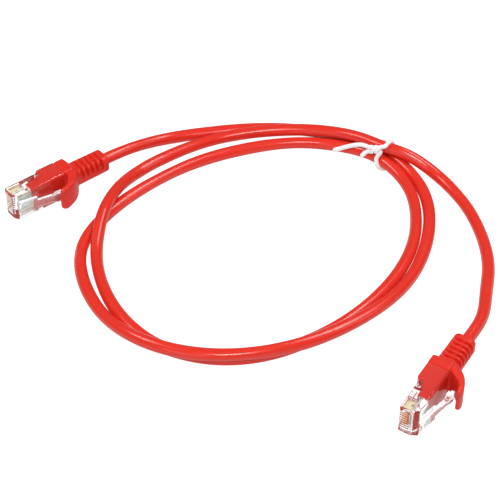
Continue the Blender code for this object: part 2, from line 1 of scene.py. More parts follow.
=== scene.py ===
"""The looks of the red ethernet patch cable: jacket, moulded boots, clear plugs, gold contacts and wire tie.

Meshes are modelled in millimetres, in the plug's own frame where they belong to a plug: +X runs from the nose
back to the cable, -Y is the latch side and z is the height above the floor. They are then placed in metres.
"""

import json
import math

import bmesh
import bpy
import numpy as np
from mathutils import Matrix, Vector


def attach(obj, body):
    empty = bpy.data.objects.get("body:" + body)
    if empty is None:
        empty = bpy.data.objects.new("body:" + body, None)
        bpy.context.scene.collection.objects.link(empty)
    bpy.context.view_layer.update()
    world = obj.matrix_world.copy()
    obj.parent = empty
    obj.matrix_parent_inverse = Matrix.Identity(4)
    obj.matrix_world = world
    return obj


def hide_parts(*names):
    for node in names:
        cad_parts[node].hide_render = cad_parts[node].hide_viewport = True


MM = 0.001
PLUGS = ("plug_a", "plug_b")

# Plug, in mm
PLUG_WIDTH = 11.68
AXIS_Z = PLUG_WIDTH / 2
BODY_HALF = 3.3
HOUSING_LENGTH = 21.4
REAR_STEP_X = 13.0
REAR_STEP = 1.15
NOSE_MOUNT_Y = 1.5
NOSE_FACE = 4.4                 # height of the flat nose, from the contact side down to its chamfer
CHAMFER_LENGTH = 1.2
EDGE_ROUND = 0.4
BAY_X = 1.4
BAY_DEPTH = 1.1
BAY_WIDTH = 8.5
CAVITY_X = 7.3
CAVITY_STEP_X = 13.9
CAVITY_FLOOR_Y = -2.6
CAVITY_FRONT_ROOF_Y = 0.8
CAVITY_SLOPE = ((10.6, CAVITY_FRONT_ROOF_Y), (12.6, 1.9))
CAVITY_ROOF_Y = 4.2
CAVITY_WIDTH = 9.8
WINDOW_X = 14.3
WINDOW_LENGTH = 3.7
WINDOW_WIDTH = 5.4
BAR_GAP = 0.3
BAR_LOW_Y = 2.9
BAR_HEIGHTS = (1.25, 0.5)       # at its front and back
PAST = 1.0                      # how far a cutter runs past the surface that it opens
CONTACTS = 8
PITCH = 1.02
SLOT_WIDTH = 0.5
SLOT_LENGTH = 6.2
SLOT_FLOOR_Y = -0.9
BLADE_THICKNESS = 0.32
BLADE_CROWN_Y = 2.75
BLADE_HEEL_Y = 1.35
WIRE_RADIUS = 0.45
WIRE_ROW_Y = -0.6
WIRE_TIP_X = 1.8
WIRE_LAYERS_Y = (-1.2, -0.16)
WIRE_GATHERED_PITCH = 1.0
WIRE_FAN = [                    # place, share of the move into layers, share of the move together
    (8.5, 0, 0), (9.2, 0.5, 0), (9.9, 1, 0), (11.2, 1, 0.2), (12.4, 1, 0.65), (13.6, 1, 1), (14.6, 1, 1),
]

# Latch lever, in mm
HINGE = (1.9, -4.05)
LEVER_LENGTH = 16.2
LEVER_SLOPE = math.radians(10.5)
LEVER_THICKNESS = 0.95
WIDE_HALF = 3.1
NARROW_HALF = 1.62
PADDLE_HALF = 2.3
SHOULDER_REACH = 6.4
PADDLE_REACH = 12.4
LEVER_ROOT_RADIUS = 0.62

# Boot, in mm
JACKET_RADIUS = 2.2
BORE_RADIUS = 2.35
JOINT_GAP = 0.3
BLOCK_FRONT_X = 21.7
BLOCK_HALF_Z = 5.75
BLOCK_PROUD = 0.15              # how far the block stands past the housing's rear step
BLOCK_EDGE = 0.45
BLOCK_CORNER = 1.0
SHOULDER_X = 25.2
NECK_X = 27.3
BOOT_END_X = 40.6
NECK_HALF = np.array((4.0, 3.6))
END_HALF = np.array((3.9, 3.5))
RIB_CORNER = 2.2
RIBS = 5
FIRST_RIB_LENGTH = 0.9
COLLAR_LENGTH = 2.6
RELIEF_END_ROUND = 0.9
RELIEF_INSIDE_BLOCK = 2.5
RELIEF_SLOTS = [                # middle and half reach in degrees round the relief, width along it, depth
    (145, 45, 1.35, 1.9), (72, 29, 1.15, 1.15),
]
RELIEF_SLOT_STEEPNESS = 8.0
HOOD_HALF_WIDTH = 4.8
HOOD_OUTSIDE = [
    (27.4, -2.2), (26.1, -4.5), (24.7, -6.4), (22.4, -8.4), (19.4, -9.75), (16.9, -10.25), (15.3, -10.1),
]
HOOD_INSIDE = [
    (23.6, -2.2), (22.3, -3.8), (21.2, -5.5), (20.0, -6.9), (18.2, -8.0), (16.6, -8.5), (15.3, -8.9),
]
HOOD_TIP_CORNER = 2.6
HOOD_TIP_ROLL = 0.9
HOOD_OUTER_ROUND = 1.15
HOOD_INNER_ROUND = 0.5
INSERT_GAP = -0.06              # the insert is moulded onto the cavity's wall
INSERT_WALL = 0.5
JACKET_END_X = 14.9
BOOT_VOXEL = 0.12

# Twist tie, in mm in its own frame: outward from the middle of the coil, up, and along the strands
TIE_RADIUS = 0.84
TIE_GAP = 0.05
TIE_PLACE = (56.4, 65.2)
RUN_HEADING = math.radians(-42.0)
OUTER_STRAND = (2.35, 4.10)
INNER_STRAND = (-2.35, 4.10)
TOP_STRAND = (0.0, 8.10)
TIE_WRAPS = [                   # centre, first and last angle, first and last place along
    (TOP_STRAND, 122, 5, 2.5, 2.2), (OUTER_STRAND, 30, -90, 2.4, 3.6), (INNER_STRAND, -90, -212, 3.7, 1.0),
]
TWIST_BASE = (-3.3, 9.3, 1.3)
TWIST_TOP = (-4.75, 8.5, -1.9)
TWIST_RADIUS = 0.85
TWIST_TURN = 360
TWIST_PHASE = 80
TIE_END_ROUND = 0.5
TIE_TAIL_A = [
    (-4.8, 9.0, -3.4), (-5.1, 9.0, -4.9), (-5.8, 8.8, -6.7), (-7.5, 8.3, -8.7), (-9.6, 7.6, -10.7),
    (-11.5, 6.9, -12.4), (-12.9, 6.6, -13.4),
]
TIE_TAIL_B = [(-5.5, 7.4, -2.9), (-6.7, 6.9, -3.4), (-8.2, 6.2, -3.8)]

# The cable's route in mm, from boot A to boot B. It passes the tie between each list and the next.
LEAD_A = [
    (-36.7, 68.6, 4.8), (-26.1, 75.8, 2.7), (-9.8, 80.4, 2.2), (9.0, 83.1, 2.2),
    (28.9, 81.8, 2.2), (42.4, 77.9, 2.3), (50.3, 73.4, 3.2),
]
TURN_1 = [
    (63.5, 60.8, 3.3), (68.0, 53.4, 2.3), (71.3, 41.1, 2.2), (70.3, 23.4, 2.2), (64.6, 5.3, 2.2),
    (54.3, -10.6, 3.4), (40.5, -23.5, 4.8), (23.4, -33.7, 5.8), (5.1, -38.6, 6.3), (-13.8, -37.6, 6.1),
    (-30.8, -29.6, 4.9), (-43.7, -14.7, 2.3), (-51.0, 2.7, 2.2), (-51.5, 18.7, 2.2), (-46.4, 30.5, 2.2),
    (-38.9, 41.1, 2.2), (-29.1, 51.1, 2.2), (-13.0, 62.9, 2.2), (4.4, 70.5, 2.2), (22.9, 74.4, 2.2),
    (39.0, 72.8, 2.4), (47.4, 69.1, 3.3),
]
TURN_2 = [
    (60.6, 57.1, 3.3), (64.7, 49.3, 2.4), (66.7, 36.6, 2.2), (64.7, 19.4, 2.2), (57.4, 1.9, 2.2),
    (45.3, -13.9, 2.2), (30.7, -26.1, 2.2), (13.8, -34.5, 2.2), (-4.9, -36.7, 2.2), (-23.7, -30.4, 2.2),
    (-36.7, -16.7, 2.2), (-44.3, 0.6, 2.2), (-46.7, 17.2, 3.3), (-45.1, 29.6, 6.7), (-42.1, 41.2, 6.0),
    (-36.4, 54.5, 2.7), (-22.5, 67.3, 2.3), (-5.8, 76.0, 2.7), (12.9, 78.7, 4.4), (32.7, 77.6, 5.7),
    (41.5, 75.2, 6.3), (49.2, 70.7, 7.4),
]
LEAD_B = [
    (64.2, 61.4, 7.7), (72.7, 57.0, 4.6), (81.8, 45.8, 2.3), (88.4, 27.0, 2.2), (89.9, 8.1, 2.3),
    (87.3, -8.5, 4.3), (84.3, -21.3, 5.4),
]

# Jacket surface
CABLE_SIDES = 28
CABLE_SPACING = 1.1 * MM
OVALITY = 0.035
OVAL_TURN = 0.11                # metres of cable for one turn of its oval
LUMP = 0.012
PAIR_REPEAT = 0.047             # metres of cable until the shape of the pairs inside repeats
SWELL_LENGTH = 0.031
SWELL_DRIFT = 0.213

WIRES = [                       # slot, colour, and the stripe's colour on a white wire
    ("wire_white_orange", (0.86, 0.84, 0.80), (0.90, 0.74, 0.60)),
    ("wire_orange", (0.90, 0.74, 0.60), None),
    ("wire_white_green", (0.84, 0.87, 0.82), (0.54, 0.68, 0.56)),
    ("wire_blue", (0.50, 0.57, 0.78), None),
    ("wire_white_blue", (0.83, 0.85, 0.88), (0.50, 0.57, 0.78)),
    ("wire_green", (0.54, 0.68, 0.56), None),
    ("wire_white_brown", (0.86, 0.83, 0.80), (0.72, 0.60, 0.50)),
    ("wire_brown", (0.72, 0.60, 0.50), None),
]

# Lamps: place and size in metres, power in watts
LAMPS = [
    ("key_front", (0.05, -0.6, 0.82), (0.3, 0.24), 4.2),
    ("key_left", (-0.62, 0.02, 0.78), (0.32, 0.28), 2.8),
    ("back", (0.45, 0.25, 0.85), (0.5, 0.26), 3.4),
    ("side", (0.85, -0.15, 0.5), (0.3, 0.6), 0.7),
    ("front", (-0.5, -0.9, 0.35), (0.6, 0.25), 1.2),
]
BOUNCES = 24                    # enough for light to leave the clear plastic again


# ---- curves and meshes ----

def natural_curve(points, steps):
    """The natural cubic spline through the given points, with a number of steps from each to the next."""
    knots = np.array(points, dtype=float)
    spans = np.linalg.norm(np.diff(knots, axis=0), axis=1)
    size = len(knots)
    system = np.eye(size)
    target = np.zeros(knots.shape)
    for i in range(1, size - 1):
        before, after = spans[i - 1], spans[i]
        system[i, i - 1:i + 2] = (before, 2 * (before + after), after)
        target[i] = 6 * ((knots[i + 1] - knots[i]) / after - (knots[i] - knots[i - 1]) / before)
    bend = np.linalg.solve(system, target)
    curve = []
    for i, span in enumerate(spans):
        for t in np.linspace(0, span, steps, endpoint=False):
            u = span - t
            point = (bend[i] * u ** 3 + bend[i + 1] * t ** 3) / (6 * span)
            point += (knots[i] / span - bend[i] * span / 6) * u
            point += (knots[i + 1] / span - bend[i + 1] * span / 6) * t
            curve.append(point)
    curve.append(knots[-1])
    return np.array(curve)


def arc_lengths(points):
    return np.concatenate([[0], np.cumsum(np.linalg.norm(np.diff(points, axis=0), axis=1))])


def respaced(points, spacing):
    """Points at even steps along the same line."""
    travelled = arc_lengths(points)
    stations = np.linspace(0, travelled[-1], max(2, round(travelled[-1] / spacing)) + 1)
    return np.stack([np.interp(stations, travelled, points[:, axis]) for axis in range(3)], axis=-1)


def smoothstep(value):
    t = np.clip(value, 0, 1)
    return t * t * (3 - 2 * t)


def skin(name, rings):
    """A closed mesh through an array of rings, shape (rings, points, 3), capped at both ends."""
    count, around = rings.shape[:2]
    here = np.arange(around)
    following = (here + 1) % around
    faces = []
    for ring in range(count - 1):
        low, high = ring * around, (ring + 1) * around
        faces += np.stack([low + here, low + following, high + following, high + here], axis=-1).tolist()
    faces.append(here[::-1].tolist())
    faces.append(((count - 1) * around + here).tolist())
    mesh = bpy.data.meshes.new(name)
    mesh.from_pydata(rings.reshape(-1, 3).tolist(), [], faces)
    bm = bmesh.new()
    bm.from_mesh(mesh)
    bmesh.ops.recalc_face_normals(bm, faces=bm.faces)
    bm.to_mesh(mesh)
    bm.free()
    return mesh


def sweep(name, points, radius_at, sides):
    """A round tube along points. radius_at takes arrays of distance along and angle round the tube."""
    tangents = np.gradient(points, axis=0)
    tangents /= np.linalg.norm(tangents, axis=1)[:, None]
    up = np.array((0.0, 0.0, 1.0)) if abs(tangents[0][2]) < 0.9 else np.array((0.0, 1.0, 0.0))
    ups = []
    for tangent in tangents:
        up = up - tangent * np.dot(up, tangent)
        up /= np.linalg.norm(up)
        ups.append(up)
    ups = np.array(ups)
    across = np.cross(tangents, ups)
    angles = np.linspace(0, 2 * math.pi, sides, endpoint=False)
    along, round_it = np.meshgrid(arc_lengths(points), angles, indexing="ij")
    radius = radius_at(along, round_it)[..., None]
    rings = across[:, None] * np.cos(round_it)[..., None] + ups[:, None] * np.sin(round_it)[..., None]
    return skin(name, points[:, None] + rings * radius)


def prism(name, outline, low, high, upright=True):
    """A closed prism on an outline in the XY plane between two heights, or in the XZ plane if not upright."""
    ends = []
    for level in (low, high):
        ends.append([(u, v, level) if upright else (u, level, v) for u, v in outline])
    return skin(name, np.array(ends, dtype=float))


def box(name, low, high):
    outline = [(low[0], low[1]), (high[0], low[1]), (high[0], high[1]), (low[0], high[1])]
    return prism(name, outline, low[2], high[2])


def rod(name, x_low, x_high, radius, sides):
    """A round rod along X, centred on the plug's axis."""
    points = np.array([(x, 0.0, AXIS_Z) for x in (x_low, x_high)])
    return sweep(name, points, lambda along, angle: np.full(along.shape, radius), sides)


def shaped(mesh, *steps):
    """The mesh after a list of modifiers, each a kind and its settings; a mesh in them becomes an object."""
    work = bpy.data.objects.new("work", mesh)
    bpy.context.scene.collection.objects.link(work)
    helpers = []
    for kind, settings in steps:
        modifier = work.modifiers.new(kind, kind)
        for key, value in settings.items():
            if isinstance(value, bpy.types.Mesh):
                value = bpy.data.objects.new("helper", value)
                bpy.context.scene.collection.objects.link(value)
                helpers.append(value)
            setattr(modifier, key, value)
    depsgraph = bpy.context.evaluated_depsgraph_get()
    result = bpy.data.meshes.new_from_object(work.evaluated_get(depsgraph))
    for obj in [work, *helpers]:
        data = obj.data
        bpy.data.objects.remove(obj)
        bpy.data.meshes.remove(data)
    return result


def joined_with(mesh):
    return "BOOLEAN", {"operation": "UNION", "solver": "EXACT", "object": mesh}


def cut_by(mesh):
    return "BOOLEAN", {"operation": "DIFFERENCE", "solver": "EXACT", "object": mesh}


def kept_inside(mesh):
    return "BOOLEAN", {"operation": "INTERSECT", "solver": "EXACT", "object": mesh}


def bevelled(width, segments):
    sharper_than = math.radians(35)
    return "BEVEL", {
        "width": width, "segments": segments, "limit_method": "ANGLE", "angle_limit": sharper_than,
    }


def smoothed(mesh, degrees=35):
    """The mesh with smooth shading, and sharp edges where its faces meet at a larger angle."""
    mesh.shade_smooth()
    mesh.set_sharp_from_angle(angle=math.radians(degrees))
    return mesh


def show(name, mesh, mat, slot, body, *nodes):
    """The mesh as a shown piece that rides on a body and stands for the CAD nodes."""
    obj = bpy.data.objects.new(name, mesh)
    bpy.context.scene.collection.objects.link(obj)
    mesh.materials.clear()
    mesh.materials.append(mat)
    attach(obj, body)
    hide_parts(*nodes)
    return obj


def placed(mesh, matrix):
    """A copy of a mesh made in mm, in metres and in its place."""
    copy = mesh.copy()
    copy.transform(matrix @ Matrix.Scale(MM, 4))
    return copy


# ---- materials ----

class Finish:
    """A Principled material, with helpers for the noise that varies it."""

    def __init__(self, name, colour, roughness, **sockets):
        self.mat = bpy.data.materials.new(name)
        self.mat.use_nodes = True
        self.tree = self.mat.node_tree
        self.shader = self.tree.nodes["Principled BSDF"]
        self.shader.inputs["Base Color"].default_value = (*colour, 1.0)
        self.shader.inputs["Roughness"].default_value = roughness
        for key, value in sockets.items():
            self.shader.inputs[key.replace("_", " ")].default_value = value
        self.place = self.tree.nodes.new("ShaderNodeTexCoord")

    def noise(self, scale, detail=2.0, roughness=0.5):
        node = self.tree.nodes.new("ShaderNodeTexNoise")
        node.inputs["Scale"].default_value = scale
        node.inputs["Detail"].default_value = detail
        node.inputs["Roughness"].default_value = roughness
        self.tree.links.new(self.place.outputs["Object"], node.inputs["Vector"])
        return node.outputs["Fac"]

    def vary_roughness(self, factor, low, high):
        node = self.tree.nodes.new("ShaderNodeMapRange")
        node.inputs["From Min"].default_value = 0.3
        node.inputs["From Max"].default_value = 0.7
        node.inputs["To Min"].default_value = low
        node.inputs["To Max"].default_value = high
        self.tree.links.new(factor, node.inputs["Value"])
        self.tree.links.new(node.outputs["Result"], self.shader.inputs["Roughness"])

    def vary_colour(self, factor, first, second):
        node = self.tree.nodes.new("ShaderNodeMix")
        node.data_type = "RGBA"
        node.inputs["A"].default_value = (*first, 1.0)
        node.inputs["B"].default_value = (*second, 1.0)
        for socket in node.inputs:
            if socket.name == "Factor" and socket.type == "VALUE":
                self.tree.links.new(factor, socket)
                break
        output = [s for s in node.outputs if s.type == "RGBA"][0]
        self.tree.links.new(output, self.shader.inputs["Base Color"])

    def bump(self, factor, distance, strength=1.0):
        node = self.tree.nodes.new("ShaderNodeBump")
        node.inputs["Distance"].default_value = distance
        node.inputs["Strength"].default_value = strength
        self.tree.links.new(factor, node.inputs["Height"])
        self.tree.links.new(node.outputs["Normal"], self.shader.inputs["Normal"])


def jacket_finish():
    finish = Finish("jacket_pvc", (0.82, 0.034, 0.018), 0.28, Specular_IOR_Level=0.5)
    finish.vary_colour(finish.noise(55, 2), (0.84, 0.036, 0.020), (0.78, 0.028, 0.014))
    finish.vary_roughness(finish.noise(260, 3), 0.17, 0.27)
    finish.bump(finish.noise(600, 2), 0.000008)
    return finish.mat


def boot_finish():
    finish = Finish("boot_pvc", (0.79, 0.030, 0.015), 0.42, Specular_IOR_Level=0.35)
    finish.vary_colour(finish.noise(140, 2), (0.80, 0.032, 0.017), (0.76, 0.025, 0.013))
    finish.vary_roughness(finish.noise(500, 2), 0.30, 0.42)
    finish.bump(finish.noise(2600, 2), 0.000004)
    return finish.mat


def clear_finish(name, roughness):
    """Polycarbonate. Lamps shine through each surface, dimmed, so that what is inside stays lit."""
    finish = Finish(name, (0.97, 0.985, 0.985), roughness, Transmission_Weight=1.0, IOR=1.52)
    finish.vary_roughness(finish.noise(300, 2), roughness, roughness + 0.05)
    finish.bump(finish.noise(700, 1), 0.00002)
    tree = finish.tree
    path = tree.nodes.new("ShaderNodeLightPath")
    through = tree.nodes.new("ShaderNodeBsdfTransparent")
    through.inputs["Color"].default_value = (0.54, 0.55, 0.55, 1.0)
    mix = tree.nodes.new("ShaderNodeMixShader")
    tree.links.new(path.outputs["Is Shadow Ray"], mix.inputs["Fac"])
    tree.links.new(finish.shader.outputs["BSDF"], mix.inputs[1])
    tree.links.new(through.outputs["BSDF"], mix.inputs[2])
    tree.links.new(mix.outputs["Shader"], tree.nodes["Material Output"].inputs["Surface"])
    return finish.mat


def gold_finish():
    finish = Finish("contact_gold", (0.93, 0.80, 0.52), 0.22, Metallic=1.0)
    finish.vary_colour(finish.noise(900, 2), (0.95, 0.83, 0.56), (0.88, 0.74, 0.44))
    finish.vary_roughness(finish.noise(1600, 3), 0.14, 0.30)
    finish.bump(finish.noise(5000, 2), 0.00001)
    return finish.mat


def tie_finish():
    finish = Finish("tie_coating", (0.96, 0.96, 0.96), 0.45)
    finish.vary_colour(finish.noise(420, 2), (0.97, 0.97, 0.97), (0.93, 0.94, 0.93))
    finish.vary_roughness(finish.noise(900, 2), 0.36, 0.52)
    finish.bump(finish.noise(1500, 2), 0.00006)
    return finish.mat


def wire_finish(name, colour, stripe):
    finish = Finish(name, colour, 0.38)
    finish.vary_roughness(finish.noise(900, 2), 0.30, 0.44)
    finish.bump(finish.noise(2600, 2), 0.00001)
    if stripe is not None:
        mark = finish.tree.nodes.new("ShaderNodeAttribute")
        mark.attribute_name = "stripe"
        finish.vary_colour(mark.outputs["Fac"], colour, stripe)
    return finish.mat


# ---- the cable ----

def plug_frame(prefix):
    """The plug's own frame in the row frame, worked out from the mount on its nose."""
    mount = next(m for m in frame["record"]["mounts"] if m["name"] == prefix + "_nose")
    back = -Vector(mount["axis"]).normalized()
    side = Vector((-back.y, back.x, 0))
    origin = Vector(mount["pos_m"]) - side * (NOSE_MOUNT_Y * MM)
    return Matrix((
        (back.x, side.x, 0, origin.x), (back.y, side.y, 0, origin.y), (0, 0, 1, 0), (0, 0, 0, 1),
    ))


def tie_point(outward, height, along):
    """A point of the tie's own frame, in mm in the row frame."""
    run = Vector((math.cos(RUN_HEADING), math.sin(RUN_HEADING), 0))
    out = Vector((-run.y, run.x, 0))
    return Vector((*TIE_PLACE, height)) + out * outward + run * along


def boot_exit(prefix, past=JOINT_GAP):
    """The point past the boot's end where the free cable starts, in mm."""
    return tuple(plug_frame(prefix) @ Vector(((BOOT_END_X + past) * MM, 0, AXIS_Z * MM)) / MM)


def cable_line():
    """The cable's centreline in metres, from a little inside boot A to a little inside boot B."""
    inside = -1.2
    route = [boot_exit("plug_a", inside), boot_exit("plug_a")]
    strands = (OUTER_STRAND, INNER_STRAND, TOP_STRAND)
    for stretch, (outward, height) in zip((LEAD_A, TURN_1, TURN_2), strands):
        route += stretch
        route.append(tuple(tie_point(outward, height, 0)))
    route += LEAD_B + [boot_exit("plug_b"), boot_exit("plug_b", inside)]
    line = natural_curve(route, 30) * MM
    line[:, 2] = np.maximum(line[:, 2], JACKET_RADIUS * MM)
    return respaced(line, CABLE_SPACING)


def jacket_radius(along, angle):
    """Slightly oval, with the soft lumps that the twisted pairs press into a jacket."""
    oval = OVALITY * np.cos(2 * (angle - 2 * math.pi * along / OVAL_TURN))
    pairs = LUMP * np.cos(3 * angle + 2 * math.pi * along / PAIR_REPEAT)
    drift = 2 * np.sin(2 * math.pi * along / SWELL_DRIFT)
    swell = 0.5 * LUMP * np.sin(2 * math.pi * along / SWELL_LENGTH + drift)
    return JACKET_RADIUS * MM * (1 + oval + pairs + swell)


def cable(mat):
    line = cable_line()
    mesh = sweep("jacket", line, jacket_radius, CABLE_SIDES)
    floor_gap = 0.02 * MM
    for vertex in mesh.vertices:
        vertex.co.z = max(vertex.co.z, floor_gap)
    obj = show("jacket", smoothed(mesh, 60), mat, "jacket_red", "cable", "cable_jacket")


def twist_tie(mat):
    """One coated wire: a loop round the three strands, a twist of both ends and two loose tails."""
    reach = JACKET_RADIUS + TIE_GAP + TIE_RADIUS
    loop = []
    for (centre_out, centre_up), start, end, first, last in TIE_WRAPS:
        steps = round((start - end) / 12)
        for k in range(steps + 1):
            share = k / steps
            angle = math.radians(start + (end - start) * share)
            along = first + (last - first) * share
            outward = centre_out + reach * math.cos(angle)
            loop.append(tie_point(outward, centre_up + reach * math.sin(angle), along))
    base = tie_point(*TWIST_BASE)
    axis = (tie_point(*TWIST_TOP) - base).normalized()
    twist_length = (tie_point(*TWIST_TOP) - base).length
    across = axis.cross(Vector((0, 0, 1))).normalized()
    rise = across.cross(axis)
    steps = 16
    legs = []
    for phase in (TWIST_PHASE, TWIST_PHASE + 180):
        leg = []
        for k in range(steps + 1):
            angle = math.radians(phase + TWIST_TURN * k / steps)
            offset = rise * math.sin(angle) + across * math.cos(angle)
            leg.append(base + axis * (twist_length * k / steps) + offset * TWIST_RADIUS)
        legs.append(leg)
    tail_a = [tie_point(*point) for point in TIE_TAIL_A]
    tail_b = [tie_point(*point) for point in TIE_TAIL_B]
    path = tail_a[::-1] + legs[0][::-1] + loop + legs[1] + tail_b
    line = respaced(natural_curve([tuple(p) for p in path], 4), 0.3) * MM
    length = arc_lengths(line)[-1]
    waviness, wave_length = 0.02, 4.3 * MM

    def radius(along, angle):
        tip = np.clip(np.minimum(along, length - along) / (TIE_END_ROUND * MM), 0, 1)
        rounded = np.sqrt(np.clip(1 - (1 - tip) ** 2, 0.12, 1))
        wavy = 1 + waviness * np.sin(2 * math.pi * along / wave_length + 2 * angle)
        return TIE_RADIUS * MM * rounded * wavy

    mesh = sweep("tie", line, radius, 20)
    show("wire_tie", smoothed(mesh, 60), mat, "tie_white", "cable", "twist_tie")


# ---- the plug's pieces, each made once in mm and placed at both plugs ----

def contact_height(index):
    return AXIS_Z + (index - (CONTACTS - 1) / 2) * PITCH


def cavity_shape(gap, back):
    """The shape of the housing's rear cavity, or of what fills it with a gap all round."""
    outline = [
        (CAVITY_X + gap, CAVITY_FLOOR_Y + gap), (back, CAVITY_FLOOR_Y + gap), (back, CAVITY_ROOF_Y - gap),
        (CAVITY_STEP_X + gap, CAVITY_ROOF_Y - gap), (CAVITY_STEP_X + gap, CAVITY_SLOPE[1][1] - gap),
        (CAVITY_SLOPE[1][0], CAVITY_SLOPE[1][1] - gap), (CAVITY_SLOPE[0][0], CAVITY_SLOPE[0][1] - gap),
        (CAVITY_X + gap, CAVITY_FRONT_ROOF_Y - gap),
    ]
    half = CAVITY_WIDTH / 2 - gap
    return prism("cavity", outline, AXIS_Z - half, AXIS_Z + half)


def housing_mesh():
    """The clear moulded shell, with its comb of contact slots, conductor bay and rear cavity."""
    outer = BODY_HALF + REAR_STEP
    outline = [
        (0, BODY_HALF), (0, BODY_HALF - NOSE_FACE), (CHAMFER_LENGTH, -BODY_HALF),
        (HOUSING_LENGTH, -BODY_HALF), (HOUSING_LENGTH, outer),
        (REAR_STEP_X + REAR_STEP, outer), (REAR_STEP_X, BODY_HALF),
    ]
    shell = shaped(prism("shell", outline, 0, PLUG_WIDTH), bevelled(EDGE_ROUND, 4))
    cuts = []
    for index in range(CONTACTS):
        z = contact_height(index)
        low = (-PAST, SLOT_FLOOR_Y, z - SLOT_WIDTH / 2)
        cuts.append(cut_by(box("slot", low, (SLOT_LENGTH, outer + PAST, z + SLOT_WIDTH / 2))))
    bay = box("bay", (BAY_X, WIRE_ROW_Y - BAY_DEPTH / 2, AXIS_Z - BAY_WIDTH / 2),
              (CAVITY_X + PAST, WIRE_ROW_Y + BAY_DEPTH / 2, AXIS_Z + BAY_WIDTH / 2))
    cavity = shaped(cavity_shape(0, HOUSING_LENGTH + PAST), bevelled(0.3, 2))
    window = box("window", (WINDOW_X, CAVITY_ROOF_Y - PAST, AXIS_Z - WINDOW_WIDTH / 2),
                 (WINDOW_X + WINDOW_LENGTH, outer + PAST, AXIS_Z + WINDOW_WIDTH / 2))
    cuts += [cut_by(bay), cut_by(cavity), cut_by(shaped(window, bevelled(0.25, 2)))]
    # the low ridge under the latch lever's root
    saddle = [(0.9, -3.2), (1.25, -3.42), (2.5, -3.42), (2.9, -3.2)]
    cuts.append(joined_with(prism("saddle", saddle, AXIS_Z - WIDE_HALF, AXIS_Z + WIDE_HALF)))
    return smoothed(shaped(shell, *cuts))


def bar_mesh():
    """The wedge in the housing's window, over the cable's end."""
    front, back = WINDOW_X + BAR_GAP, WINDOW_X + WINDOW_LENGTH - BAR_GAP
    outline = [(front, BAR_LOW_Y), (back, BAR_LOW_Y), (back, BAR_LOW_Y + BAR_HEIGHTS[1]),
               (front, BAR_LOW_Y + BAR_HEIGHTS[0])]
    half = WINDOW_WIDTH / 2 - BAR_GAP
    return smoothed(shaped(prism("bar", outline, AXIS_Z - half, AXIS_Z + half), bevelled(0.12, 2)))


def contact_mesh(index):
    """A gold blade, whose two teeth reach down almost to its wire."""
    crown, heel = BLADE_CROWN_Y, BLADE_HEEL_Y
    tooth = WIRE_ROW_Y + WIRE_RADIUS + 0.05
    outline = [
        (1.2, heel), (1.6, heel - 0.5), (1.9, tooth), (2.6, tooth), (3.0, 0.6), (3.6, 0.6), (4.0, tooth),
        (4.7, tooth), (5.4, heel), (5.4, crown - 0.3), (5.1, crown), (1.6, crown), (1.2, crown - 0.4),
    ]
    z = contact_height(index)
    half = BLADE_THICKNESS / 2
    return smoothed(shaped(prism("blade", outline, z - half, z + half), bevelled(0.05, 2)))


def conductor_mesh(index):
    """A wire from its place in the row of eight, back to where the wires gather in two layers."""
    row_z = contact_height(index)
    layer_y = WIRE_LAYERS_Y[index % 2]
    gathered_z = AXIS_Z + (index // 2 - 1.5) * WIRE_GATHERED_PITCH
    points = [(WIRE_TIP_X, WIRE_ROW_Y, row_z), (5.0, WIRE_ROW_Y, row_z)]
    for place, layered, gathered in WIRE_FAN:
        y = WIRE_ROW_Y + (layer_y - WIRE_ROW_Y) * layered
        points.append((place, y, row_z + (gathered_z - row_z) * gathered))
    line = respaced(natural_curve(points, 8), 0.3)
    sides = 16
    mesh = sweep("wire", line, lambda along, angle: np.full(along.shape, WIRE_RADIUS), sides)
    stripe = mesh.attributes.new("stripe", "FLOAT", "FACE")
    for face in range(len(mesh.polygons) - 2):
        turn = (face % sides + (face // sides) // 3) % sides
        stripe.data[face].value = 1.0 if turn % 8 < 2 else 0.0
    return smoothed(mesh, 50)


def jacket_end_mesh():
    """The jacket's last stretch, from its cut end in the housing to just inside the boot's end."""
    xs = [JACKET_END_X, JACKET_END_X + 0.1, JACKET_END_X + 0.35, 20, 27, 33, BOOT_END_X - 1.4]
    insets = [0.3, 0.08, 0, 0, 0, 0, 0]
    points = np.array([(x, 0.0, AXIS_Z) for x in xs])
    radii = JACKET_RADIUS - np.array(insets)
    mesh = sweep("end", points, lambda along, angle: np.repeat(radii[:, None], angle.shape[1], 1), 32)
    return smoothed(mesh)


def slot_depth(y, z, off_centre):
    """How deep the crescent slots are at a place round the relief, and off their middle along it."""
    deepest = 0.0
    turn = math.degrees(math.atan2(z, y))
    for middle, reach, width, depth in RELIEF_SLOTS:
        share = ((turn - middle + 90) % 180 - 90) / reach
        if abs(share) < 1:
            swell = math.sqrt(1 - share ** 2)
            inside = width / 2 * math.sqrt(swell) - off_centre
            deepest = max(deepest, min(RELIEF_SLOT_STEEPNESS * inside, depth * swell))
    return deepest


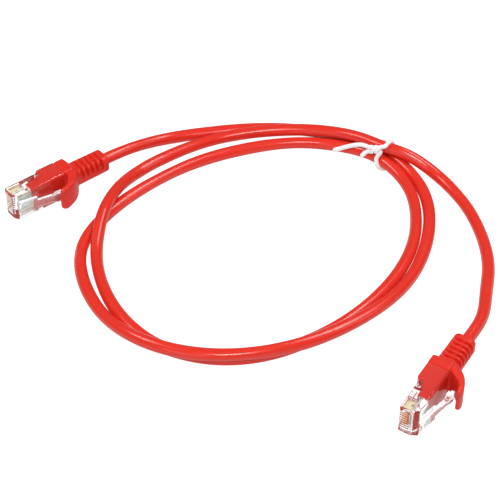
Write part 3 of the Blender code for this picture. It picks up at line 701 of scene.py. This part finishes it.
def rounded_section(x, half_y, half_z, corner, y_mid=0.0, off_centre=PAST):
    """A rounded rectangle across the boot, cut by the slots if they are near enough along it."""
    per_corner, per_flat = 12, 10
    section = []
    for quarter in range(4):
        sign_y = 1 if quarter in (0, 3) else -1
        sign_z = 1 if quarter in (0, 1) else -1
        centre_y, centre_z = sign_y * (half_y - corner), sign_z * (half_z - corner)
        for k in range(per_corner + 1):
            angle = math.radians(90) * (quarter + k / per_corner)
            section.append((centre_y, centre_z, math.cos(angle), math.sin(angle), corner))
        for k in range(1, per_flat):
            share = 1 - 2 * k / per_flat
            if quarter % 2 == 0:
                section.append((sign_y * (half_y - corner) * share, centre_z, 0, sign_z, corner))
            else:
                section.append((centre_y, sign_z * (half_z - corner) * share, sign_y, 0, corner))
    ring = []
    for centre_y, centre_z, out_y, out_z, radius in section:
        radius -= slot_depth(centre_y + out_y * radius, centre_z + out_z * radius, off_centre)
        ring.append((x, y_mid + centre_y + out_y * radius, AXIS_Z + centre_z + out_z * radius))
    return ring


def relief_mesh():
    """The ribbed strain relief, from inside the block to its rounded end collar."""
    pitch = (BOOT_END_X - COLLAR_LENGTH - NECK_X) / RIBS
    centres = [NECK_X + FIRST_RIB_LENGTH + pitch * (index + 0.25) for index in range(RIBS)]
    spacing = 0.1
    rings = []
    for x in np.arange(NECK_X - RELIEF_INSIDE_BLOCK, BOOT_END_X - RELIEF_END_ROUND, spacing):
        off_centre = min(abs(x - centre) for centre in centres)
        half = NECK_HALF + (END_HALF - NECK_HALF) * (x - NECK_X) / (BOOT_END_X - NECK_X)
        rings.append(rounded_section(x, *half, RIB_CORNER, off_centre=off_centre))
    for k in range(9):
        turn = math.radians(90 * k / 8)
        inset = RELIEF_END_ROUND * (1 - math.cos(turn))
        half = END_HALF - inset
        x = BOOT_END_X - RELIEF_END_ROUND * (1 - math.sin(turn))
        rings.append(rounded_section(x, *half, RIB_CORNER - inset))
    return skin("relief", np.array(rings))


def block_mesh():
    """The block behind the housing, narrowing to the relief."""
    half_y = BODY_HALF + REAR_STEP / 2 + BLOCK_PROUD
    mid_y = REAR_STEP / 2 + BLOCK_PROUD
    half_z = BLOCK_HALF_Z
    rings = []
    for back, inset, corner in ((0, 1, 0.7), (0.3, 0.3, 0.9), (1, 0, BLOCK_CORNER)):
        inset *= BLOCK_EDGE
        x = BLOCK_FRONT_X + back * BLOCK_EDGE
        rings.append(rounded_section(x, half_y - inset, half_z - inset, corner, mid_y))
    for k in range(9):
        share = k / 8
        ease = float(smoothstep(share)) * 0.5 + share * 0.5
        rings.append(rounded_section(
            SHOULDER_X + (NECK_X - SHOULDER_X) * share, half_y + (NECK_HALF[0] - half_y) * ease,
            half_z + (NECK_HALF[1] - half_z) * ease, BLOCK_CORNER + (RIB_CORNER - BLOCK_CORNER) * ease,
            mid_y * (1 - ease),
        ))
    return skin("block", np.array(rings))


def hood_mesh():
    """The tongue that rises from the block and reaches forward over the latch's paddle."""
    stations = 48
    curves = []
    for points in (HOOD_OUTSIDE, HOOD_INSIDE):
        curve = natural_curve([(x, y, 0) for x, y in points], 12)
        travelled = arc_lengths(curve)
        at = np.linspace(0, travelled[-1], stations)
        curves.append(np.stack([np.interp(at, travelled, curve[:, axis]) for axis in range(2)], axis=-1))
    to_tip = (curves[0] + curves[1]) / 2
    to_tip = arc_lengths(to_tip)[-1] - arc_lengths(to_tip)
    rings = []
    for outside, inside, left in zip(*curves, to_tip):
        across = inside - outside
        thick = np.linalg.norm(across)
        across /= thick
        reach = math.sqrt(max(1 - (1 - min(left / HOOD_TIP_CORNER, 1)) ** 2, 0.02))
        half_width = HOOD_HALF_WIDTH - HOOD_TIP_CORNER * (1 - reach)
        fullness = math.sqrt(max(1 - (1 - min(left / HOOD_TIP_ROLL, 1)) ** 2, 0.04))
        outer_round = min(HOOD_OUTER_ROUND, thick / 2)
        section = crowned_section(thick / 2 * fullness, half_width, outer_round, HOOD_INNER_ROUND)
        ring = []
        for depth, height in section:
            point = outside + across * (thick / 2 + depth)
            ring.append((point[0], point[1], AXIS_Z + height))
        rings.append(ring)
    return skin("hood", np.array(rings))


def crowned_section(half_thick, half_width, outer_round, inner_round):
    """A closed outline with one corner radius on the outer side, at the negative end, and one inside."""
    outline = []
    for quarter in range(4):
        sign_t = 1 if quarter in (0, 3) else -1
        sign_w = 1 if quarter in (0, 1) else -1
        radius = min(inner_round if sign_t > 0 else outer_round, 0.95 * half_thick, half_width)
        for k in range(9):
            angle = math.radians(90) * (quarter + k / 8)
            outline.append((sign_t * (half_thick - radius) + radius * math.cos(angle),
                            sign_w * (half_width - radius) + radius * math.sin(angle)))
    return outline


def boot_mesh():
    """The red overmoulding in one piece, with the soft edges of moulded PVC."""
    insert = shaped(cavity_shape(INSERT_GAP, BLOCK_FRONT_X + PAST), bevelled(0.25, 2))
    half_width = WINDOW_WIDTH / 2 + BAR_GAP
    pocket = box("pocket", (CAVITY_STEP_X, BAR_LOW_Y - BAR_GAP, AXIS_Z - half_width),
                 (WINDOW_X + WINDOW_LENGTH + BAR_GAP, CAVITY_ROOF_Y + PAST, AXIS_Z + half_width))
    bore = rod("bore", JACKET_END_X - 0.6, BOOT_END_X + PAST, BORE_RADIUS, 40)
    wall = INSERT_GAP + INSERT_WALL
    half_width = CAVITY_WIDTH / 2 - wall
    fan = box("fan", (CAVITY_X - PAST, CAVITY_FLOOR_Y + wall, AXIS_Z - half_width),
              (JACKET_END_X - 0.3, CAVITY_FRONT_ROOF_Y - 0.35, AXIS_Z + half_width))
    whole = shaped(
        relief_mesh(), joined_with(block_mesh()), joined_with(insert), joined_with(hood_mesh()),
        cut_by(pocket), cut_by(bore), cut_by(fan),
    )
    soft = shaped(
        whole, ("REMESH", {"mode": "VOXEL", "voxel_size": BOOT_VOXEL, "use_smooth_shade": True}),
        ("SMOOTH", {"factor": 0.5, "iterations": 2}),
    )
    soft.shade_smooth()
    return soft


def latch_mesh():
    """The lever at rest: a wide part, two shoulders and a narrow tongue that ends in a paddle."""
    half = LEVER_THICKNESS / 2
    profile = []
    for k in range(9):
        angle = math.radians(250 - 140 * k / 8)
        profile.append((LEVER_ROOT_RADIUS * math.cos(angle), LEVER_ROOT_RADIUS * math.sin(angle)))
    profile += [(0.9, half), (LEVER_LENGTH - 1.6, half), (LEVER_LENGTH, half + 0.05), (LEVER_LENGTH, 0),
                (LEVER_LENGTH - 0.4, -half), (0.9, -half)]
    side = prism("lever", profile, AXIS_Z - 1.2 * WIDE_HALF, AXIS_Z + 1.2 * WIDE_HALF)
    half_plan = [(-1, WIDE_HALF), (SHOULDER_REACH, WIDE_HALF), (SHOULDER_REACH, NARROW_HALF),
                 (PADDLE_REACH, NARROW_HALF)]
    for k in range(1, 9):
        share = k / 8
        half_plan.append((PADDLE_REACH + 1.6 * share,
                          NARROW_HALF + (PADDLE_HALF - NARROW_HALF) * float(smoothstep(share))))
    half_plan += [(LEVER_LENGTH - 0.5, PADDLE_HALF), (LEVER_LENGTH + 0.1, PADDLE_HALF - 0.6)]
    outline = [(x, AXIS_Z + z) for x, z in half_plan + [(x, -z) for x, z in reversed(half_plan)]]
    lever = shaped(side, kept_inside(prism("plan", outline, -3, 3, upright=False)), bevelled(0.16, 2))
    lever.transform(Matrix.Translation((*HINGE, 0)) @ Matrix.Rotation(-LEVER_SLOPE, 4, "Z"))
    return smoothed(lever)


def plugs(jacket):
    """Every piece of both plugs, each on the body that carries it."""
    boot_look = boot_finish()
    clear = clear_finish("polycarbonate", 0.02)
    lever_clear = clear_finish("lever_polycarbonate", 0.05)
    gold = gold_finish()
    wires = [wire_finish(slot, colour, stripe) for slot, colour, stripe in WIRES]
    housing, bar, end, boot, lever = housing_mesh(), bar_mesh(), jacket_end_mesh(), boot_mesh(), latch_mesh()
    blades = [contact_mesh(index) for index in range(CONTACTS)]
    cores = [conductor_mesh(index) for index in range(CONTACTS)]
    for prefix in PLUGS:
        place = plug_frame(prefix)
        node = prefix + "_"
        show(node + "shell", placed(housing, place), clear, "clear_plastic", "cable", node + "housing")
        show(node + "bar", placed(bar, place), clear, "clear_plastic", "cable", node + "strain_relief_bar")
        show(node + "core_jacket", placed(end, place), jacket, "jacket_red", "cable", node + "jacket_end")
        show(node + "overmould", placed(boot, place), boot_look, "boot_red", "cable", node + "boot")
        lever_body = prefix.replace("plug", "latch")
        show(node + "lever", placed(lever, place), lever_clear, "clear_plastic", lever_body, node + "latch")
        for index in range(CONTACTS):
            number = str(index + 1)
            show(node + "blade_" + number, placed(blades[index], place), gold, "contact_gold", "cable",
                 node + "contact_" + number)
            show(node + "wire_" + number, placed(cores[index], place), wires[index], WIRES[index][0], "cable",
                 node + "conductor_" + number)


# ---- camera, floor and light ----

def camera():
    """The viewing angle: from the front, well above the floor, at a long focal length."""
    elevation = math.radians(43.1)
    target = Vector((0.0071, 0.0176, 0))
    distance = 0.5754
    data = bpy.data.cameras.new("camera")
    data.sensor_width = 36
    data.lens = 117.36
    data.clip_start, data.clip_end = 0.01, 10
    obj = bpy.data.objects.new("camera", data)
    bpy.context.scene.collection.objects.link(obj)
    obj.location = target + Vector((0, -math.cos(elevation), math.sin(elevation))) * distance
    obj.rotation_euler = (math.pi / 2 - elevation, 0, 0)
    bpy.context.scene.camera = obj


def soft_light(name, place, size, power):
    data = bpy.data.lights.new(name, "AREA")
    data.shape = "RECTANGLE"
    data.size, data.size_y = size
    data.energy = power
    obj = bpy.data.objects.new(name, data)
    bpy.context.scene.collection.objects.link(obj)
    obj.location = place
    obj.rotation_mode = "QUATERNION"
    obj.rotation_quaternion = (-Vector(place)).to_track_quat("-Z", "Y")
    obj.visible_transmission = False


def by_path(tree, lighting, seen):
    """One value for the light on the object, another for what the camera sees, also through plastic."""
    path = tree.nodes.new("ShaderNodeLightPath")

    def combine(operation, first, second):
        node = tree.nodes.new("ShaderNodeMath")
        node.operation = operation
        for value, socket in zip((first, second), node.inputs):
            if isinstance(value, float):
                socket.default_value = value
            else:
                tree.links.new(value, socket)
        return node.outputs["Value"]

    through = combine("MINIMUM", path.outputs["Transmission Depth"], 1.0)
    undimmed = combine("LESS_THAN", path.outputs["Diffuse Depth"], 0.5)
    camera_sees = combine("MAXIMUM", path.outputs["Is Camera Ray"], combine("MULTIPLY", through, undimmed))
    node = tree.nodes.new("ShaderNodeMapRange")
    node.inputs["To Min"].default_value = lighting
    node.inputs["To Max"].default_value = seen
    tree.links.new(camera_sees, node.inputs["Value"])
    return node.outputs["Result"]


def studio():
    """A white floor and background, and the lamps."""
    floor = Finish("floor_card", (0.5, 0.5, 0.5), 0.9, Emission_Color=(1, 1, 1, 1))
    glow = by_path(floor.tree, lighting=0.26, seen=0.95)
    floor.tree.links.new(glow, floor.shader.inputs["Emission Strength"])
    floor.vary_roughness(floor.noise(3, 1), 0.85, 0.95)
    half = 3.0
    height = -0.05 * MM
    corners = [(-half, -half, height), (half, -half, height), (half, half, height), (-half, half, height)]
    mesh = bpy.data.meshes.new("floor")
    mesh.from_pydata(corners, [], [(0, 1, 2, 3)])
    mesh.materials.append(floor.mat)
    obj = bpy.data.objects.new("floor", mesh)
    bpy.context.scene.collection.objects.link(obj)
    world = bpy.data.worlds.new("studio")
    world.use_nodes = True
    tree = world.node_tree
    sky = tree.nodes["Background"]
    sky.inputs["Color"].default_value = (1, 1, 1, 1)
    tree.links.new(by_path(tree, lighting=0.18, seen=1.0), sky.inputs["Strength"])
    world.cycles.sampling_method = "NONE"
    bpy.context.scene.world = world
    for name, place, size, power in LAMPS:
        soft_light(name, place, size, power)
    cycles = bpy.context.scene.cycles
    cycles.max_bounces = cycles.glossy_bounces = cycles.transmission_bounces = BOUNCES
    cycles.transparent_max_bounces = BOUNCES
    bpy.context.scene.view_settings.view_transform = "Standard"


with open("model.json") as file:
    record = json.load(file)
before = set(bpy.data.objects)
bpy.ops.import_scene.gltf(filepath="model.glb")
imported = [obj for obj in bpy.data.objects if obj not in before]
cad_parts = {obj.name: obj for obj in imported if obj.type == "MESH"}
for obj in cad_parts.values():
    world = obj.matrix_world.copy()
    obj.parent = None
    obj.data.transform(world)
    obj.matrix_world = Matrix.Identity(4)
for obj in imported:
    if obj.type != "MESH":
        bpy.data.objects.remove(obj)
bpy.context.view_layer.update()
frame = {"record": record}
camera()
jacket_look = jacket_finish()
cable(jacket_look)
twist_tie(tie_finish())
plugs(jacket_look)
studio()
